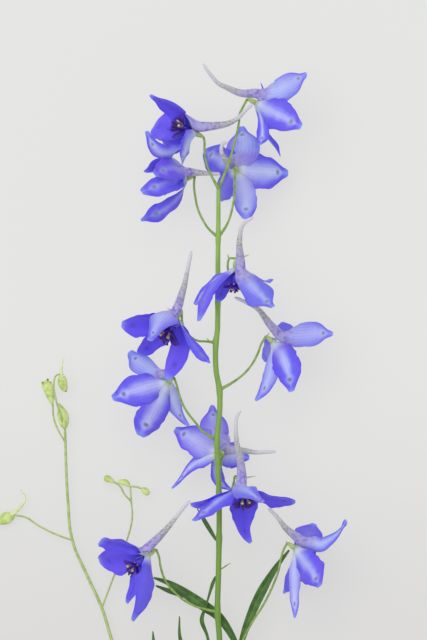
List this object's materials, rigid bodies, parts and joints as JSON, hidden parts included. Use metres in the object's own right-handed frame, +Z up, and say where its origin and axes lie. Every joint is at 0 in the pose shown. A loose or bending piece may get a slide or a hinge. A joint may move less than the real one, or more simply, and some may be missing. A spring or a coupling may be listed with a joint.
{
  "type": "delphinium flower spike",
  "caption": "Cut delphinium flower spike lying on a surface: spurred blue flowers with dark eyes on thin stalks, a budded side shoot and leaves cut into narrow lobes.",
  "frame": {"origin": "middle of the spike's footprint, on the surface that it lies on", "axes": "+Y along the stem, from the cut butt to the youngest flower; +Z up from the surface; +X across the spike, to the right when the tip points away"},
  "size_m": [0.1425, 0.356, 0.0484],
  "materials": {
    "sepal_blue": "soft satin petal",
    "eye_indigo": "velvety dark petal",
    "stem_green": "smooth green stem",
    "bud_green": "pale green bud",
    "leaf_green": "matt leaf"
  },
  "bodies": {
    "root": {"main_stem": "stem_green", "side_shoot": "bud_green", "leaf_right": "leaf_green", "leaf_left": "leaf_green", "bloom_01_sepals": "sepal_blue", "bloom_01_eye": "eye_indigo", "bloom_02_sepals": "sepal_blue", "bloom_02_eye": "eye_indigo", "bloom_03_sepals": "sepal_blue", "bloom_03_eye": "eye_indigo", "bloom_04_sepals": "sepal_blue", "bloom_04_eye": "eye_indigo", "bloom_05_sepals": "sepal_blue", "bloom_05_eye": "eye_indigo", "bloom_06_sepals": "sepal_blue", "bloom_06_eye": "eye_indigo", "bloom_07_sepals": "sepal_blue", "bloom_07_eye": "eye_indigo", "bloom_08_sepals": "sepal_blue", "bloom_08_eye": "eye_indigo", "bloom_09_sepals": "sepal_blue", "bloom_09_eye": "eye_indigo", "bloom_10_sepals": "sepal_blue", "bloom_10_eye": "eye_indigo", "bloom_11_sepals": "sepal_blue", "bloom_11_eye": "eye_indigo", "bloom_12_sepals": "sepal_blue", "bloom_12_eye": "eye_indigo"}
  },
  "joints": []
}
